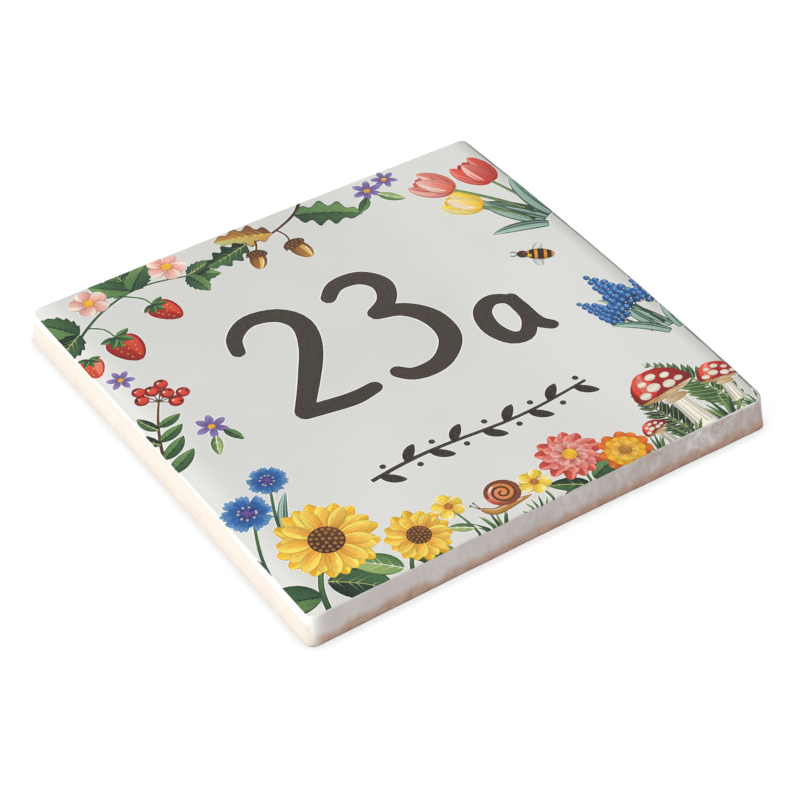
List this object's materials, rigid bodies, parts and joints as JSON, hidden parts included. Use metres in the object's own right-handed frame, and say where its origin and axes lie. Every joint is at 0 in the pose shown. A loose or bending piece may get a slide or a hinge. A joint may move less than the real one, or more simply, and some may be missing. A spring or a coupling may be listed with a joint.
{
  "type": "house number tile",
  "caption": "Square hand-formed ceramic wall tile with a glazed, crowned face, rolled edges and a keyed back; carries a painted house number.",
  "frame": {"origin": "middle of the back, on the plane that is bedded on the wall", "axes": "+Z out of the glazed face, +X the direction in which the number reads, +Y the top of the design"},
  "size_m": [0.1538, 0.1513, 0.0111],
  "materials": {
    "glazed_tile": "white gloss glaze over pale clay, bare clay at the foot and on the back"
  },
  "bodies": {
    "root": {"tile": "glazed_tile"}
  },
  "joints": []
}
